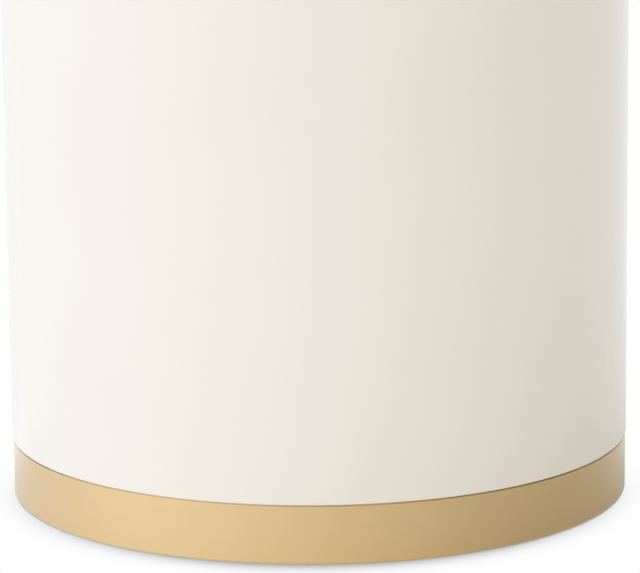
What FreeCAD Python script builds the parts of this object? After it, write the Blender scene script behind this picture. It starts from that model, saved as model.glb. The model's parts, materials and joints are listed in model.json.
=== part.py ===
import FreeCAD, Part

import math
import os
from collections import namedtuple

from FreeCAD import Vector

# Round drum coffee table: a lacquered drum on a plinth wrapped in a satin gold band.
# Millimetres. The floor is z = 0, the drum's axis is +Z, the hidden seams are at the back (+Y).

# Overall sizes
DRUM_DIAMETER = 500.0
TABLE_HEIGHT = 450.0

# Lacquered drum
WALL_THICKNESS = 12.0
TOP_THICKNESS = 18.0
TOP_EDGE_ROUNDING = 3.0
JOINT_LINE_ROUNDING = 0.5
WALL_FOOT_ROUNDING = 0.8

# Frame inside the drum
RING_THICKNESS = 18.0
RING_WIDTH = 58.0
FLOOR_THICKNESS = 18.0
UPRIGHT_COUNT = 6
UPRIGHT_DEPTH = 25.0
UPRIGHT_WIDTH = 45.0
UPRIGHT_ARRIS = 1.5
UPRIGHT_SETBACK = 20.0
FIRST_UPRIGHT_ANGLE = 30.0
BATTEN_WIDTH = 60.0
BATTEN_THICKNESS = 11.0

# Plinth and its gold band
LOWER_PLINTH_THICKNESS = 28.0
UPPER_PLINTH_THICKNESS = 18.0
PLINTH_WIDTH = 70.0
PLINTH_CHAMFER = 1.2
BAND_SHEET = 1.2
BAND_INSET = 0.6
BAND_LIP = 14.0
BAND_BEND = 2.0
BAND_EDGE_ROUNDING = 0.4
BAND_SEAM = 0.3
REVEAL = 1.2
JOINT_PLATE_WIDTH = 40.0
JOINT_PLATE_MARGIN = 6.0
JOINT_PLATE_SHEET = 1.2

# Levelling feet in the plinth
LEVELLER_COUNT = 4
FIRST_LEVELLER_ANGLE = 0.0
LEVELLER_TRAVEL = 10.0
FOOT_DIAMETER = 32.0
FOOT_HEIGHT = 8.0
FOOT_NECK_DIAMETER = 24.0
FOOT_RIM_HEIGHT = 3.5
FOOT_ROUNDING = 1.2
FOOT_FLOOR_GAP = 0.6
FOOT_SOLE = 3.0
STUD_DIAMETER = 8.0
STUD_CHAMFER = 0.8
COLLAR_DIAMETER = 11.0
COLLAR_HEIGHT = 2.2
HEX_ACROSS_FLATS = 13.0
HEX_HEIGHT = 2.6
HEX_STOP_GAP = 0.4
INSERT_BARREL_DIAMETER = 10.4
INSERT_BARREL_LENGTH = 12.0
INSERT_FLANGE_DIAMETER = 24.0
INSERT_FLANGE_THICKNESS = 1.6
SPANNER_ROOM = 3.0
STUD_RESERVE = 7.0

# Bolts that hold the plinth to the drum's floor
BOLT_COUNT = 4
FIRST_BOLT_ANGLE = 45.0
BOLT_DIAMETER = 6.0
BOLT_HEAD_DIAMETER = 10.0
BOLT_HEAD_HEIGHT = 6.0
BOLT_SOCKET_FLATS = 5.0
BOLT_SOCKET_DEPTH = 3.0
BOLT_ENGAGEMENT = 10.0
WASHER_DIAMETER = 14.0
WASHER_THICKNESS = 1.6
COUNTERBORE_DIAMETER = 18.0
COUNTERBORE_DEPTH = 12.0
BOLT_INSERT_DIAMETER = 10.0
BOLT_INSERT_LENGTH = 15.0

# Wood screws: shank and head diameters, length, and the cross recess's arm, width and depth
Screw = namedtuple("Screw", "shank head length arm slot recess")
UPRIGHT_SCREW = Screw(shank=4.5, head=9.0, length=50.0, arm=4.4, slot=1.0, recess=1.6)
PANEL_SCREW = Screw(shank=4.0, head=8.0, length=28.0, arm=4.0, slot=0.9, recess=1.4)
LIP_SCREW = Screw(shank=3.5, head=6.8, length=16.0, arm=3.4, slot=0.8, recess=1.1)
PANEL_SCREW_COUNT = 6
LIP_SCREW_COUNT = 8
SCREW_SINK = 0.2
SCREW_POINT_LENGTH = 4.0
SCREW_POINT_RADIUS = 0.3

# Clearances
GLUE_LINE = 0.15
FASTENER_CLEARANCE = 0.05
THREAD_CLEARANCE = 0.08
SWIVEL_CLEARANCE = 0.15
BOLT_HOLE_CLEARANCE = 0.3
NOTCH_CLEARANCE = 0.3
HOLE_OVERRUN = 1.0

# Heights, from the floor up
plinth_bottom = BAND_SHEET
plinth_split = plinth_bottom + LOWER_PLINTH_THICKNESS
drum_bottom = plinth_split + UPPER_PLINTH_THICKNESS
band_top = drum_bottom - REVEAL
floor_top = drum_bottom + FLOOR_THICKNESS
wall_top = TABLE_HEIGHT - TOP_THICKNESS
top_ring_bottom = wall_top - RING_THICKNESS
mid_ring_bottom = (floor_top + top_ring_bottom - RING_THICKNESS) / 2

# Radii, from the outside in
drum_radius = DRUM_DIAMETER / 2
wall_inner_radius = drum_radius - WALL_THICKNESS
frame_radius = wall_inner_radius - GLUE_LINE
ring_inner_radius = frame_radius - RING_WIDTH
band_radius = drum_radius - BAND_INSET
band_inner_radius = band_radius - BAND_SHEET
lip_radius = band_radius - BAND_LIP
plinth_radius = band_inner_radius - GLUE_LINE
plinth_inner_radius = plinth_radius - PLINTH_WIDTH
fixing_circle = (plinth_radius + plinth_inner_radius) / 2
lip_screw_circle = (lip_radius + band_radius - BAND_BEND) / 2
upright_outer = wall_inner_radius - UPRIGHT_SETBACK
upright_circle = upright_outer - UPRIGHT_DEPTH / 2
panel_screw_circle = (frame_radius + ring_inner_radius) / 2

# Leveller heights at rest, wound fully in
foot_top = FOOT_FLOOR_GAP + FOOT_HEIGHT
hex_top = foot_top + HEX_HEIGHT
insert_bottom = hex_top + HEX_STOP_GAP
recess_top = insert_bottom + INSERT_FLANGE_THICKNESS
insert_top = recess_top + INSERT_BARREL_LENGTH
stud_top = insert_top + LEVELLER_TRAVEL + STUD_RESERVE

# Plinth bolt heights
bolt_seat = plinth_bottom + COUNTERBORE_DEPTH
bolt_head_top = bolt_seat - WASHER_THICKNESS
bolt_end = drum_bottom + BOLT_ENGAGEMENT

ORIGIN = Vector(0, 0, 0)
UP = Vector(0, 0, 1)
BACK_ANGLE = 90.0
SAME_POINT = 1e-6


def rounded_wire(corners):
    """Closed wire in the XZ plane through (radius, height, rounding) corners, with tangent arcs."""
    points = [Vector(radius, 0, height) for radius, height, _ in corners]
    bends = []
    for i, (_, _, rounding) in enumerate(corners):
        here = points[i]
        if rounding == 0:
            bends.append((here, None, here))
            continue
        back = (points[i - 1] - here).normalize()
        ahead = (points[(i + 1) % len(points)] - here).normalize()
        half_angle = back.getAngle(ahead) / 2
        reach = rounding / math.tan(half_angle)
        middle = here + (back + ahead).normalize() * (rounding / math.sin(half_angle) - rounding)
        bends.append((here + back * reach, middle, here + ahead * reach))
    edges = []
    for i, (start, middle, end) in enumerate(bends):
        if middle is not None:
            edges.append(Part.Arc(start, middle, end).toShape())
        following = bends[(i + 1) % len(bends)][0]
        if (following - end).Length > SAME_POINT:
            edges.append(Part.makeLine(end, following))
    return Part.Wire(edges)


def turned(corners, sweep=360.0):
    """Solid made by turning a profile of (radius, height, rounding) corners about the drum's axis."""
    return Part.Face(rounded_wire(corners)).revolve(ORIGIN, UP, sweep)


def ring(inner, outer, bottom, top):
    """Plain flat ring about the drum's axis."""
    return turned([(inner, bottom, 0), (outer, bottom, 0), (outer, top, 0), (inner, top, 0)])


def ring_sector(inner, outer, bottom, top, width, middle_angle):
    """Part of a ring, as wide along its outer face as the width, centred on an angle."""
    sweep = math.degrees(width / outer)
    corners = [(inner, bottom, 0), (outer, bottom, 0), (outer, top, 0), (inner, top, 0)]
    sector = turned(corners, sweep)
    sector.rotate(ORIGIN, UP, middle_angle - sweep / 2)
    return sector


def cylinder(diameter, bottom, top, radius_from_axis=0.0):
    """Upright cylinder that stands on the +X axis."""
    return Part.makeCylinder(diameter / 2, top - bottom, Vector(radius_from_axis, 0, bottom))


def hexagon(across_flats, bottom, top):
    """Upright hexagonal prism on the drum's axis."""
    corner = across_flats / math.sqrt(3)
    turns = [k * math.pi / 3 for k in range(7)]
    points = [Vector(corner * math.cos(turn), corner * math.sin(turn), bottom) for turn in turns]
    return Part.Face(Part.makePolygon(points)).extrude(Vector(0, 0, top - bottom))


def at_angle(shape, angle):
    """Copy of a shape made beside the +X axis, turned about the drum's axis."""
    copy = shape.copy()
    copy.rotate(ORIGIN, UP, angle)
    return copy


def moved(shape, x, z):
    """Copy of a shape made at the origin, moved along X and Z."""
    copy = shape.copy()
    copy.translate(Vector(x, 0, z))
    return copy


def spread(count, first):
    """Equal angles round the drum."""
    return [first + 360.0 * k / count for k in range(count)]


def cut_all(shape, tools):
    """Shape with every tool cut out of it."""
    return shape.cut(Part.makeCompound(tools))


UPRIGHT_ANGLES = spread(UPRIGHT_COUNT, FIRST_UPRIGHT_ANGLE)
PANEL_SCREW_ANGLES = spread(PANEL_SCREW_COUNT, FIRST_UPRIGHT_ANGLE + 180.0 / UPRIGHT_COUNT)
LEVELLER_ANGLES = spread(LEVELLER_COUNT, FIRST_LEVELLER_ANGLE)
BOLT_ANGLES = spread(BOLT_COUNT, FIRST_BOLT_ANGLE)
LIP_SCREW_ANGLES = spread(LIP_SCREW_COUNT, 180.0 / LIP_SCREW_COUNT)


# Screws


def screw_body(screw, grow=0.0):
    """Countersunk wood screw driven up from z = 0, or, grown by a clearance, the hole that it sits in."""
    shank = screw.shank / 2 + grow
    length = screw.length + grow
    return turned(
        [
            (0, 0, 0),
            (screw.head / 2 + grow, 0, 0),
            (shank, (screw.head - screw.shank) / 2, 0),
            (shank, length - SCREW_POINT_LENGTH, 0),
            (SCREW_POINT_RADIUS + grow, length, 0),
            (0, length, 0),
        ]
    )


def screw_piece(screw):
    """Wood screw with a cross recess in its head."""
    along = Part.makeBox(screw.arm, screw.slot, screw.recess, Vector(-screw.arm / 2, -screw.slot / 2, 0))
    across = Part.makeBox(screw.slot, screw.arm, screw.recess, Vector(-screw.slot / 2, -screw.arm / 2, 0))
    return screw_body(screw).cut(along.fuse(across))


def screw_hole(screw):
    """Countersunk hole for a screw, open below its head."""
    mouth = cylinder(screw.head + 2 * FASTENER_CLEARANCE, -HOLE_OVERRUN, 0)
    return screw_body(screw, FASTENER_CLEARANCE).fuse(mouth)


def driven_up(shape, circle, face, angles):
    """Copies of a screw, or its hole, driven up into a face from below."""
    return [at_angle(moved(shape, circle, face + SCREW_SINK), angle) for angle in angles]


def driven_down(shape, circle, face, angles):
    """Copies of a screw, or its hole, driven down into a face from above."""
    flipped = shape.copy()
    flipped.rotate(ORIGIN, Vector(1, 0, 0), 180)
    return [at_angle(moved(flipped, circle, face - SCREW_SINK), angle) for angle in angles]


def panel_screw_set(shape):
    """Up through the top ring into the top panel."""
    return driven_up(shape, panel_screw_circle, top_ring_bottom, PANEL_SCREW_ANGLES)


def upright_top_set(shape):
    """Down through the top ring into the uprights."""
    return driven_down(shape, upright_circle, wall_top, UPRIGHT_ANGLES)


def upright_bottom_set(shape):
    """Up through the drum's floor into the uprights."""
    return driven_up(shape, upright_circle, drum_bottom, UPRIGHT_ANGLES)


def lip_screw_set(shape):
    """Up through the band's lip into the plinth."""
    return driven_up(shape, lip_screw_circle, 0, LIP_SCREW_ANGLES)


# Lacquered drum


def top_panel():
    """Round top, with a soft upper edge and screw holes in its underside."""
    disc = turned(
        [
            (0, wall_top, 0),
            (drum_radius, wall_top, JOINT_LINE_ROUNDING),
            (drum_radius, TABLE_HEIGHT, TOP_EDGE_ROUNDING),
            (0, TABLE_HEIGHT, 0),
        ]
    )
    return cut_all(disc, panel_screw_set(screw_hole(PANEL_SCREW)))


def drum_wall():
    """Bent wall of the drum, eased where it meets the top and above the band."""
    return turned(
        [
            (wall_inner_radius, drum_bottom, 0),
            (drum_radius, drum_bottom, WALL_FOOT_ROUNDING),
            (drum_radius, wall_top, JOINT_LINE_ROUNDING),
            (wall_inner_radius, wall_top, 0),
        ]
    )


def batten_blank(clearance):
    """Batten behind the wall's seam, grown by a clearance where it is a notch."""
    return ring_sector(
        frame_radius - BATTEN_THICKNESS - clearance,
        frame_radius + clearance,
        floor_top,
        top_ring_bottom,
        BATTEN_WIDTH + 2 * clearance,
        BACK_ANGLE,
    )


# Frame inside the drum


def upright_blank(clearance):
    """Square-edged upright on the +X axis, grown by a clearance where it is a notch."""
    return Part.makeBox(
        UPRIGHT_DEPTH + 2 * clearance,
        UPRIGHT_WIDTH + 2 * clearance,
        top_ring_bottom - floor_top,
        Vector(upright_outer - UPRIGHT_DEPTH - clearance, -UPRIGHT_WIDTH / 2 - clearance, floor_top),
    )


def uprights():
    """Posts between the floor and the top ring, with eased long edges and screw holes in both ends."""
    post = upright_blank(0)
    long_edges = [edge for edge in post.Edges if edge.BoundBox.ZLength > SAME_POINT]
    eased = post.makeChamfer(UPRIGHT_ARRIS, long_edges)
    hole = screw_hole(UPRIGHT_SCREW)
    holes = upright_top_set(hole) + upright_bottom_set(hole)
    return [cut_all(at_angle(eased, angle), holes) for angle in UPRIGHT_ANGLES]


def top_ring():
    """Ring under the top panel, flush with the top of the wall."""
    blank = ring(ring_inner_radius, frame_radius, top_ring_bottom, wall_top)
    panel_holes = panel_screw_set(screw_hole(PANEL_SCREW))
    upright_holes = upright_top_set(screw_hole(UPRIGHT_SCREW))
    return cut_all(blank, panel_holes + upright_holes)


def mid_ring():
    """Ring half way up, notched round the uprights from its inner edge, and round the batten."""
    blank = ring(ring_inner_radius, frame_radius, mid_ring_bottom, mid_ring_bottom + RING_THICKNESS)
    notch = upright_blank(NOTCH_CLEARANCE)
    mouth = Part.makeBox(
        upright_outer - ring_inner_radius + HOLE_OVERRUN,
        UPRIGHT_WIDTH + 2 * NOTCH_CLEARANCE,
        top_ring_bottom - floor_top,
        Vector(ring_inner_radius - 2 * HOLE_OVERRUN, -UPRIGHT_WIDTH / 2 - NOTCH_CLEARANCE, floor_top),
    )
    notches = [at_angle(notch.fuse(mouth), angle) for angle in UPRIGHT_ANGLES]
    return cut_all(blank, notches + [batten_blank(NOTCH_CLEARANCE)])


def floor_panel():
    """Round floor of the drum, with screw holes and blind holes for the bolt inserts."""
    disc = cylinder(2 * frame_radius, drum_bottom, floor_top)
    insert_hole = cylinder(
        BOLT_INSERT_DIAMETER + 2 * FASTENER_CLEARANCE,
        drum_bottom - HOLE_OVERRUN,
        drum_bottom + BOLT_INSERT_LENGTH,
        fixing_circle,
    )
    holes = [at_angle(insert_hole, angle) for angle in BOLT_ANGLES]
    return cut_all(disc, holes + upright_bottom_set(screw_hole(UPRIGHT_SCREW)))


# Plinth and band


def joint_plate_blank(clearance):
    """Plate behind the band's seam, grown by a clearance where it is a pocket in the plinth."""
    return ring_sector(
        band_inner_radius - GLUE_LINE - JOINT_PLATE_SHEET - clearance,
        band_inner_radius - GLUE_LINE + clearance,
        plinth_bottom + JOINT_PLATE_MARGIN - clearance,
        band_top - JOINT_PLATE_MARGIN + clearance,
        JOINT_PLATE_WIDTH + 2 * clearance,
        BACK_ANGLE,
    )


def bolt_holes():
    """Clearance holes and counterbores for the plinth bolts."""
    through = cylinder(
        BOLT_DIAMETER + 2 * BOLT_HOLE_CLEARANCE, plinth_bottom, drum_bottom + HOLE_OVERRUN, fixing_circle
    )
    counterbore = cylinder(COUNTERBORE_DIAMETER, plinth_bottom - HOLE_OVERRUN, bolt_seat, fixing_circle)
    return [at_angle(through.fuse(counterbore), angle) for angle in BOLT_ANGLES]


def leveller_holes():
    """Recess for the foot, hole for the threaded insert, and room for the stud above it."""
    recess_diameter = FOOT_DIAMETER + 2 * SPANNER_ROOM
    barrel_diameter = INSERT_BARREL_DIAMETER + 2 * FASTENER_CLEARANCE
    stud_diameter = STUD_DIAMETER + 2 * BOLT_HOLE_CLEARANCE
    recess = cylinder(recess_diameter, plinth_bottom - HOLE_OVERRUN, recess_top, fixing_circle)
    barrel = cylinder(barrel_diameter, recess_top, insert_top, fixing_circle)
    stud_room = cylinder(stud_diameter, insert_top, stud_top + HOLE_OVERRUN, fixing_circle)
    return [at_angle(recess.fuse(barrel).fuse(stud_room), angle) for angle in LEVELLER_ANGLES]


def plinth_ring_lower():
    """Thick lower ring of the plinth, chamfered to clear the band's bend."""
    blank = turned(
        [
            (plinth_inner_radius, plinth_bottom, 0),
            (plinth_radius - PLINTH_CHAMFER, plinth_bottom, 0),
            (plinth_radius, plinth_bottom + PLINTH_CHAMFER, 0),
            (plinth_radius, plinth_split, 0),
            (plinth_inner_radius, plinth_split, 0),
        ]
    )
    holes = bolt_holes() + leveller_holes() + lip_screw_set(screw_hole(LIP_SCREW))
    return cut_all(blank, holes + [joint_plate_blank(NOTCH_CLEARANCE)])


def plinth_ring_upper():
    """Upper ring of the plinth, which carries the drum and shows as the dark line above the band."""
    blank = ring(plinth_inner_radius, plinth_radius, plinth_split, drum_bottom)
    return cut_all(blank, bolt_holes() + leveller_holes() + [joint_plate_blank(NOTCH_CLEARANCE)])


def base_band():
    """Gold hoop rolled from sheet, with a lip turned in underneath and a butt seam at the back."""
    hoop = turned(
        [
            (lip_radius, 0, 0),
            (band_radius, 0, BAND_BEND),
            (band_radius, band_top, BAND_EDGE_ROUNDING),
            (band_inner_radius, band_top, 0),
            (band_inner_radius, BAND_SHEET, BAND_BEND - BAND_SHEET),
            (lip_radius, BAND_SHEET, 0),
        ]
    )
    seam = Part.makeBox(
        BAND_LIP + 2 * HOLE_OVERRUN,
        BAND_SEAM,
        band_top + 2 * HOLE_OVERRUN,
        Vector(lip_radius - HOLE_OVERRUN, -BAND_SEAM / 2, -HOLE_OVERRUN),
    )
    return cut_all(hoop, lip_screw_set(screw_hole(LIP_SCREW)) + [at_angle(seam, BACK_ANGLE)])


# Plinth bolts


def plinth_bolts():
    """Socket-head bolts, driven up through the plinth."""
    head = cylinder(BOLT_HEAD_DIAMETER, bolt_head_top - BOLT_HEAD_HEIGHT, bolt_head_top)
    shank = cylinder(BOLT_DIAMETER, bolt_head_top, bolt_end)
    socket_bottom = bolt_head_top - BOLT_HEAD_HEIGHT
    socket = hexagon(BOLT_SOCKET_FLATS, socket_bottom, socket_bottom + BOLT_SOCKET_DEPTH)
    bolt = moved(head.fuse(shank).cut(socket).removeSplitter(), fixing_circle, 0)
    return [at_angle(bolt, angle) for angle in BOLT_ANGLES]


def plinth_washers():
    """Washers between the bolt heads and their counterbores."""
    washer = ring(BOLT_DIAMETER / 2 + BOLT_HOLE_CLEARANCE, WASHER_DIAMETER / 2, bolt_head_top, bolt_seat)
    return [at_angle(moved(washer, fixing_circle, 0), angle) for angle in BOLT_ANGLES]


def plinth_inserts():
    """Threaded inserts for the bolts, set in the drum's floor."""
    bore = BOLT_DIAMETER / 2 + THREAD_CLEARANCE
    insert = ring(bore, BOLT_INSERT_DIAMETER / 2, drum_bottom, drum_bottom + BOLT_INSERT_LENGTH)
    return [at_angle(moved(insert, fixing_circle, 0), angle) for angle in BOLT_ANGLES]


# Levellers


def leveller_inserts():
    """Flanged threaded inserts that the studs screw into."""
    bore = STUD_DIAMETER / 2 + THREAD_CLEARANCE
    barrel = INSERT_BARREL_DIAMETER / 2
    flange = INSERT_FLANGE_DIAMETER / 2
    insert = turned(
        [
            (bore, insert_bottom, 0),
            (flange, insert_bottom, 0),
            (flange, recess_top, 0),
            (barrel, recess_top, 0),
            (barrel, insert_top, 0),
            (bore, insert_top, 0),
        ]
    )
    return [at_angle(moved(insert, fixing_circle, 0), angle) for angle in LEVELLER_ANGLES]


def leveller_foot():
    """Moulded foot on the +X axis, with an undercut socket that holds the stud's collar."""
    socket_bottom = FOOT_FLOOR_GAP + FOOT_SOLE
    groove_top = socket_bottom + COLLAR_HEIGHT + 2 * SWIVEL_CLEARANCE
    neck = STUD_DIAMETER / 2 + SWIVEL_CLEARANCE
    groove = COLLAR_DIAMETER / 2 + SWIVEL_CLEARANCE
    foot = turned(
        [
            (0, FOOT_FLOOR_GAP, 0),
            (FOOT_DIAMETER / 2, FOOT_FLOOR_GAP, FOOT_ROUNDING),
            (FOOT_DIAMETER / 2, FOOT_FLOOR_GAP + FOOT_RIM_HEIGHT, FOOT_ROUNDING),
            (FOOT_NECK_DIAMETER / 2, foot_top, FOOT_ROUNDING),
            (neck, foot_top, 0),
            (neck, groove_top, 0),
            (groove, groove_top, 0),
            (groove, socket_bottom, 0),
            (0, socket_bottom, 0),
        ]
    )
    return moved(foot, fixing_circle, 0)


def leveller_stud():
    """Threaded stud on the +X axis, with a collar in the foot's socket and a hexagon to turn it by."""
    collar_bottom = FOOT_FLOOR_GAP + FOOT_SOLE + SWIVEL_CLEARANCE
    collar_top = collar_bottom + COLLAR_HEIGHT
    stud = STUD_DIAMETER / 2
    shaft = turned(
        [
            (0, collar_bottom, 0),
            (COLLAR_DIAMETER / 2, collar_bottom, 0),
            (COLLAR_DIAMETER / 2, collar_top, 0),
            (stud, collar_top, 0),
            (stud, stud_top - STUD_CHAMFER, 0),
            (stud - STUD_CHAMFER, stud_top, 0),
            (0, stud_top, 0),
        ]
    )
    spanner_hex = hexagon(HEX_ACROSS_FLATS, foot_top, hex_top)
    return moved(shaft.fuse(spanner_hex).removeSplitter(), fixing_circle, 0)


def table():
    """Every node of the table by name, each with its separate solids."""
    nodes = {
        "top_panel": [top_panel()],
        "drum_wall": [drum_wall()],
        "wall_seam_batten": [batten_blank(0)],
        "top_ring": [top_ring()],
        "mid_ring": [mid_ring()],
        "floor_panel": [floor_panel()],
        "plinth_ring_upper": [plinth_ring_upper()],
        "plinth_ring_lower": [plinth_ring_lower()],
        "base_band": [base_band()],
        "band_joint_plate": [joint_plate_blank(0)],
        "top_panel_screws": panel_screw_set(screw_piece(PANEL_SCREW)),
        "upright_top_screws": upright_top_set(screw_piece(UPRIGHT_SCREW)),
        "upright_bottom_screws": upright_bottom_set(screw_piece(UPRIGHT_SCREW)),
        "band_lip_screws": lip_screw_set(screw_piece(LIP_SCREW)),
        "plinth_bolts": plinth_bolts(),
        "plinth_washers": plinth_washers(),
        "plinth_inserts": plinth_inserts(),
        "leveller_inserts": leveller_inserts(),
    }
    for number, upright in enumerate(uprights(), start=1):
        nodes[f"upright_{number}"] = [upright]
    for number, angle in enumerate(LEVELLER_ANGLES, start=1):
        nodes[f"leveller_foot_{number}"] = [at_angle(leveller_foot(), angle)]
        nodes[f"leveller_stud_{number}"] = [at_angle(leveller_stud(), angle)]
    return nodes


def main():
    os.makedirs("parts", exist_ok=True)
    for name, pieces in table().items():
        solids = [solid for piece in pieces for solid in piece.Solids]
        if len(solids) != len(pieces) or not all(solid.isValid() for solid in solids):
            raise ValueError(f"{name}: {len(solids)} solids from {len(pieces)} pieces, or one is not valid")
        shape = solids[0] if len(solids) == 1 else Part.makeCompound(solids)
        shape.exportStep(f"parts/{name}.step")
        print(f"{name}: {len(solids)} solid(s), {sum(s.Volume for s in solids) / 1000:.1f} cm3")


main()
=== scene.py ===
# %% [markdown]
# # A drum coffee table in cream lacquer and satin gold
# The table is a plain lacquered drum on a plinth, and a gold band wraps the plinth. There is almost
# nothing on it, so the picture rests on clean curves, soft light and two finishes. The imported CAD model
# is the frame: it says where every piece is, in metres, with +Z up and the floor at zero. Blender dresses
# it, and never moves or resizes it.

# %% Load the frame
import json
import math

import bmesh
import bpy
import numpy as np
from mathutils import Matrix


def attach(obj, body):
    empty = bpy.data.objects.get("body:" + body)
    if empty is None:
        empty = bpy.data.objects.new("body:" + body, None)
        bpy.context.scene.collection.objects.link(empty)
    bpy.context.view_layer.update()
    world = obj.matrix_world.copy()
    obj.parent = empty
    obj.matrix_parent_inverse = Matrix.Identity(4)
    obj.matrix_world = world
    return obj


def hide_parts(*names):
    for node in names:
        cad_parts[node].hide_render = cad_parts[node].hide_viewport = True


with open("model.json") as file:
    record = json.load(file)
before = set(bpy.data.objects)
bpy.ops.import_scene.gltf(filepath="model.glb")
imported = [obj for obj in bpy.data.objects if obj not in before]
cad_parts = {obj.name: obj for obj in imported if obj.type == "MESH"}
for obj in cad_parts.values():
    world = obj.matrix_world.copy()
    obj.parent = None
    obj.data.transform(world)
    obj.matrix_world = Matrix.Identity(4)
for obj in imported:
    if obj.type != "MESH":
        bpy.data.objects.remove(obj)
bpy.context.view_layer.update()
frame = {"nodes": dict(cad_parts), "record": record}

MM = 0.001
body_of = {node: body for body, nodes in frame["record"]["behaviour"]["bodies"].items() for node in nodes}
slot_of = {row["node"]: row["material_slot"] for row in frame["record"]["subparts"]}

# %% [markdown]
# ## Measuring the frame
# A CAD node's mesh holds its place, so its sizes can be read from its vertices. For a turned piece the
# useful numbers are its lowest and highest point and its least and greatest distance from the drum's
# axis. Reading them here, instead of typing them again, keeps the visible surfaces exactly on the solids.
# What a mesh can't tell, such as the rounding of an edge, is a named value in millimetres beside the
# piece that needs it.


# %% Sizes of turned pieces
def turned_sizes(node):
    """Lowest and highest z, then least and greatest distance from the drum's axis, of a CAD node."""
    mesh = frame["nodes"][node].data
    places = np.empty(3 * len(mesh.vertices))
    mesh.vertices.foreach_get("co", places)
    x, y, z = places.reshape(-1, 3).T
    reach = np.hypot(x, y)
    return z.min(), z.max(), reach.min(), reach.max()


wall_low, wall_high, wall_inner, wall_outer = turned_sizes("drum_wall")
top_low, top_high, _, top_outer = turned_sizes("top_panel")
band_low, band_high, lip_inner, band_outer = turned_sizes("base_band")
print(f"drum: radius {wall_outer / MM:.1f} mm, from {wall_low / MM:.1f} to {wall_high / MM:.1f} mm")
print(f"band: radius {band_outer / MM:.1f} mm, from {band_low / MM:.1f} to {band_high / MM:.1f} mm")

# %% [markdown]
# ## Outlines and turned surfaces
# The drum, its top, the band, the feet and every fastener are turned shapes. Blender's Spin or Screw
# could turn a drawn outline, but a formula is clearer: an outline gives a radius and a height at each
# step, and turning it about an axis gives a grid of points. The edges carry the realism. Each corner is a
# true arc, and a guard point a fraction of a millimetre away from it keeps the smooth shading of the arc
# from bleeding across the tall flat wall.

# %% Outline with rounded corners
GUARD = 0.4 * MM
SHORTEST_RUN = 4 * GUARD
LONGEST_RUN = 20 * MM
ARC_POINTS = 8


def corner_arc(before, corner, after, rounding):
    """Arc that touches both sides of a corner.

    With unit vectors b and a back and ahead along the sides, and h half the angle between them, the arc
    starts and ends rounding / tan h from the corner, and its centre is rounding / sin h away along a + b.
    The points turn about that centre from the first touching point to the second."""
    if rounding == 0:
        return corner[None, :]
    b = (before - corner) / np.linalg.norm(before - corner)
    a = (after - corner) / np.linalg.norm(after - corner)
    h = math.acos(np.clip(a @ b, -1, 1)) / 2
    centre = corner + (a + b) / np.linalg.norm(a + b) * rounding / math.sin(h)
    first = corner + b * rounding / math.tan(h) - centre
    last = corner + a * rounding / math.tan(h) - centre
    sweep = math.pi - 2 * h
    turn = np.linspace(0, sweep, ARC_POINTS)[:, None]
    return centre + (first * np.sin(sweep - turn) + last * np.sin(turn)) / math.sin(sweep)


def straight_run(start, end):
    """Points inside a straight side: a guard point near each end, and even steps between them."""
    length = np.linalg.norm(end - start)
    if length < SHORTEST_RUN:
        return np.empty((0, 2))
    count = max(2, math.ceil(length / LONGEST_RUN) + 1)
    return start + (end - start) * np.linspace(GUARD, length - GUARD, count)[:, None] / length


def outline(corners, closed):
    """Points (radius, height) along corners (radius, height, rounding), and back to the first if closed."""
    places = np.array([corner[:2] for corner in corners])
    count = len(corners)
    arcs = [
        corner_arc(places[i - 1], places[i], places[(i + 1) % count], corners[i][2]) for i in range(count)
    ]
    parts = []
    for i in range(count if closed else count - 1):
        parts += [arcs[i], straight_run(arcs[i][-1], arcs[(i + 1) % count][0])]
    parts.append(arcs[0][:1] if closed else arcs[-1])
    return np.concatenate(parts)


# %% Turn an outline about an upright axis
DRUM_STEPS = 720
BACK = math.pi / 2
DRUM_TURNS = BACK + np.linspace(0, 2 * np.pi, DRUM_STEPS + 1)


def turned(radius, height, turns=DRUM_TURNS, axis=(0.0, 0.0), facing=0.0):
    """Grid of points, x = axis x + r cos t and y = axis y + r sin t, for each row of radii and heights
    and each turn t.

    A row's radius is one number, or one for each turn. The grid's flat map has the length round the axis
    across and the length along the outline up, both in metres, so that a pattern on it can be given in
    real sizes."""
    radius = np.broadcast_to(radius, (len(height), len(turns)))
    height = np.broadcast_to(height, radius.shape)
    t = turns + facing
    points = np.stack([axis[0] + radius * np.cos(t), axis[1] + radius * np.sin(t), height], axis=2)
    steps = np.linalg.norm(np.diff(points[:, 0], axis=0), axis=1)
    along = np.concatenate([[0], np.cumsum(steps)])[:, None] + 0 * radius
    across = (turns - turns[0]) * radius.max() + 0 * radius
    return points, np.stack([across, along], axis=2)


def turned_outline(corners, closed, **place):
    """Turned grid of an outline given by its corners."""
    line = outline(corners, closed)
    return turned(line[:, :1], line[:, 1:], **place)


print(f"{DRUM_STEPS} steps round the drum, {2 * np.pi * wall_outer / DRUM_STEPS / MM:.1f} mm each")

# %% Make a piece from grids
MERGE = 0.5e-6
SHARP_ANGLE = math.radians(35)
made = []


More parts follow.
